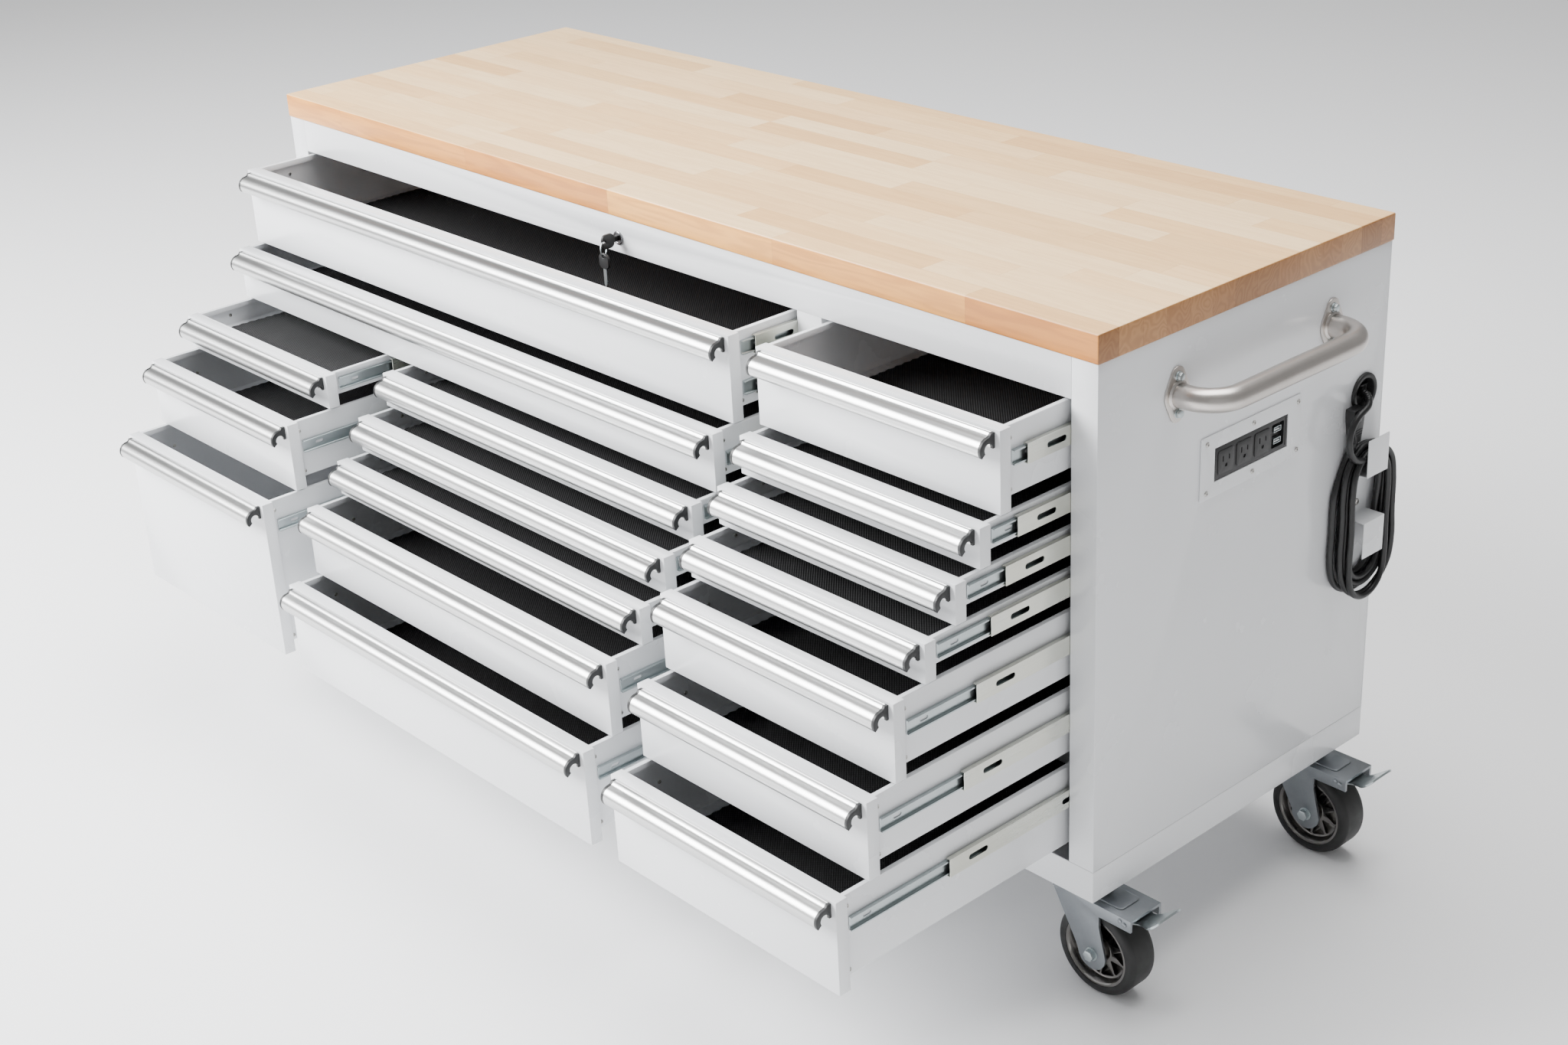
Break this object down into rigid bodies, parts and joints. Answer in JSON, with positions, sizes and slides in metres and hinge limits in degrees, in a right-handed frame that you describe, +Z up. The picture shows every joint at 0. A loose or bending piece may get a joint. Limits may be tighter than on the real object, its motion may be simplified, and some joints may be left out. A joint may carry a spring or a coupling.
{
  "type": "workbench with drawers",
  "caption": "Long rolling steel workbench with a butcher-block top, full-width and stacked drawers with hooked pulls, a push handle, a power outlet and casters.",
  "frame": {"origin": "middle of the bench's footprint on the floor, with the drawers standing open as modelled", "axes": "+X along the bench towards the push handle, +Y from its front to its back, +Z up"},
  "size_m": [1.9144, 1.0686, 0.985],
  "materials": {
    "butcher_block": "satin clear coat",
    "white_paint": "gloss powder coat",
    "pull_aluminium": "satin anodised",
    "stainless_steel": "brushed",
    "black_plastic": "matte",
    "cord_jacket": "matte",
    "plug_plastic": "moulded",
    "lock_metal": "dark nickel plate",
    "wheel_rubber": "smooth",
    "zinc_plate": "zinc plated",
    "bright_zinc": "bright zinc plated"
  },
  "bodies": {
    "cabinet": {"worktop": "butcher_block", "left_side_panel": "white_paint", "right_side_panel": "white_paint", "back_panel": "white_paint", "base_frame": "white_paint", "front_top_rail": "white_paint", "inner_frame": "white_paint", "push_handle": "stainless_steel", "outlet_plate": "white_paint", "outlet_block": "black_plastic", "cord_grommet": "black_plastic", "cord_bracket": "white_paint", "power_cord": "cord_jacket", "cord_coil": "cord_jacket", "cord_plug": "plug_plastic", "left_front_fork": "zinc_plate", "left_back_fork": "zinc_plate"},
    "key": {"lock_key": "lock_metal"},
    "wide_drawer_1": {"wide_drawer_1": "white_paint", "wide_pull_1": "pull_aluminium"},
    "wide_drawer_2": {"wide_drawer_2": "white_paint", "wide_pull_2": "pull_aluminium"},
    "left_drawer_1": {"left_drawer_1": "white_paint", "left_pull_1": "pull_aluminium"},
    "left_drawer_2": {"left_drawer_2": "white_paint", "left_pull_2": "pull_aluminium"},
    "left_drawer_3": {"left_drawer_3": "white_paint", "left_pull_3": "pull_aluminium"},
    "centre_drawer_1": {"centre_drawer_1": "white_paint", "centre_pull_1": "pull_aluminium"},
    "centre_drawer_2": {"centre_drawer_2": "white_paint", "centre_pull_2": "pull_aluminium"},
    "centre_drawer_3": {"centre_drawer_3": "white_paint", "centre_pull_3": "pull_aluminium"},
    "centre_drawer_4": {"centre_drawer_4": "white_paint", "centre_pull_4": "pull_aluminium"},
    "centre_drawer_5": {"centre_drawer_5": "white_paint", "centre_pull_5": "pull_aluminium"},
    "right_drawer_1": {"right_drawer_1": "white_paint", "right_pull_1": "pull_aluminium"},
    "right_drawer_2": {"right_drawer_2": "white_paint", "right_pull_2": "pull_aluminium"},
    "right_drawer_3": {"right_drawer_3": "white_paint", "right_pull_3": "pull_aluminium"},
    "right_drawer_4": {"right_drawer_4": "white_paint", "right_pull_4": "pull_aluminium"},
    "right_drawer_5": {"right_drawer_5": "white_paint", "right_pull_5": "pull_aluminium"},
    "right_drawer_6": {"right_drawer_6": "white_paint", "right_pull_6": "pull_aluminium"},
    "right_drawer_7": {"right_drawer_7": "white_paint", "right_pull_7": "pull_aluminium"},
    "right_front_swivel": {"right_front_fork": "zinc_plate"},
    "right_front_wheel": {"right_front_wheel": "wheel_rubber"},
    "right_front_brake_pedal": {"right_front_brake_pedal": "bright_zinc"},
    "right_back_swivel": {"right_back_fork": "zinc_plate"},
    "right_back_wheel": {"right_back_wheel": "wheel_rubber"},
    "right_back_brake_pedal": {"right_back_brake_pedal": "bright_zinc"},
    "left_front_wheel": {"left_front_wheel": "wheel_rubber"},
    "left_back_wheel": {"left_back_wheel": "wheel_rubber"}
  },
  "joints": [
    {"name": "key_turn", "type": "hinge", "parent": "cabinet", "child": "key", "pos_m": [-0.04275, -0.11105, 0.9135], "axis": [0, -1, 0], "range_deg": [0, 90]},
    {"name": "wide_drawer_1_slide", "type": "slide", "parent": "cabinet", "child": "wide_drawer_1", "axis": [0, -1, 0], "range_m": [-0.122, 0.418]},
    {"name": "wide_drawer_2_slide", "type": "slide", "parent": "cabinet", "child": "wide_drawer_2", "axis": [0, -1, 0], "range_m": [-0.16, 0.38]},
    {"name": "left_drawer_1_slide", "type": "slide", "parent": "cabinet", "child": "left_drawer_1", "axis": [0, -1, 0], "range_m": [-0.275, 0.265]},
    {"name": "left_drawer_2_slide", "type": "slide", "parent": "cabinet", "child": "left_drawer_2", "axis": [0, -1, 0], "range_m": [-0.354, 0.186]},
    {"name": "left_drawer_3_slide", "type": "slide", "parent": "cabinet", "child": "left_drawer_3", "axis": [0, -1, 0], "range_m": [-0.418, 0.122]},
    {"name": "centre_drawer_1_slide", "type": "slide", "parent": "cabinet", "child": "centre_drawer_1", "axis": [0, -1, 0], "range_m": [-0.205, 0.335]},
    {"name": "centre_drawer_2_slide", "type": "slide", "parent": "cabinet", "child": "centre_drawer_2", "axis": [0, -1, 0], "range_m": [-0.259, 0.281]},
    {"name": "centre_drawer_3_slide", "type": "slide", "parent": "cabinet", "child": "centre_drawer_3", "axis": [0, -1, 0], "range_m": [-0.307, 0.233]},
    {"name": "centre_drawer_4_slide", "type": "slide", "parent": "cabinet", "child": "centre_drawer_4", "axis": [0, -1, 0], "range_m": [-0.371, 0.169]},
    {"name": "centre_drawer_5_slide", "type": "slide", "parent": "cabinet", "child": "centre_drawer_5", "axis": [0, -1, 0], "range_m": [-0.422, 0.118]},
    {"name": "right_drawer_1_slide", "type": "slide", "parent": "cabinet", "child": "right_drawer_1", "axis": [0, -1, 0], "range_m": [-0.123, 0.417]},
    {"name": "right_drawer_2_slide", "type": "slide", "parent": "cabinet", "child": "right_drawer_2", "axis": [0, -1, 0], "range_m": [-0.16, 0.38]},
    {"name": "right_drawer_3_slide", "type": "slide", "parent": "cabinet", "child": "right_drawer_3", "axis": [0, -1, 0], "range_m": [-0.204, 0.336]},
    {"name": "right_drawer_4_slide", "type": "slide", "parent": "cabinet", "child": "right_drawer_4", "axis": [0, -1, 0], "range_m": [-0.258, 0.282]},
    {"name": "right_drawer_5_slide", "type": "slide", "parent": "cabinet", "child": "right_drawer_5", "axis": [0, -1, 0], "range_m": [-0.313, 0.227]},
    {"name": "right_drawer_6_slide", "type": "slide", "parent": "cabinet", "child": "right_drawer_6", "axis": [0, -1, 0], "range_m": [-0.363, 0.177]},
    {"name": "right_drawer_7_slide", "type": "slide", "parent": "cabinet", "child": "right_drawer_7", "axis": [0, -1, 0], "range_m": [-0.42, 0.12]},
    {"name": "right_front_swivel_turn", "type": "hinge", "parent": "cabinet", "child": "right_front_swivel", "pos_m": [0.81575, -0.02025, 0.15], "axis": [0, 0, 1], "continuous": true},
    {"name": "right_front_wheel_spin", "type": "hinge", "parent": "right_front_swivel", "child": "right_front_wheel", "pos_m": [0.85075, -0.02025, 0.068], "axis": [0, 1, 0], "continuous": true},
    {"name": "right_front_brake_press", "type": "hinge", "parent": "right_front_swivel", "child": "right_front_brake_pedal", "pos_m": [0.89575, -0.02025, 0.142], "axis": [0, 1, 0], "range_deg": [0, 18]},
    {"name": "right_back_swivel_turn", "type": "hinge", "parent": "cabinet", "child": "right_back_swivel", "pos_m": [0.81575, 0.46575, 0.15], "axis": [0, 0, 1], "continuous": true},
    {"name": "right_back_wheel_spin", "type": "hinge", "parent": "right_back_swivel", "child": "right_back_wheel", "pos_m": [0.85075, 0.46575, 0.068], "axis": [0, 1, 0], "continuous": true},
    {"name": "right_back_brake_press", "type": "hinge", "parent": "right_back_swivel", "child": "right_back_brake_pedal", "pos_m": [0.89575, 0.46575, 0.142], "axis": [0, 1, 0], "range_deg": [0, 18]},
    {"name": "left_front_wheel_spin", "type": "hinge", "parent": "cabinet", "child": "left_front_wheel", "pos_m": [-0.88925, -0.02025, 0.068], "axis": [0, 1, 0], "continuous": true},
    {"name": "left_back_wheel_spin", "type": "hinge", "parent": "cabinet", "child": "left_back_wheel", "pos_m": [-0.88925, 0.46575, 0.068], "axis": [0, 1, 0], "continuous": true}
  ]
}
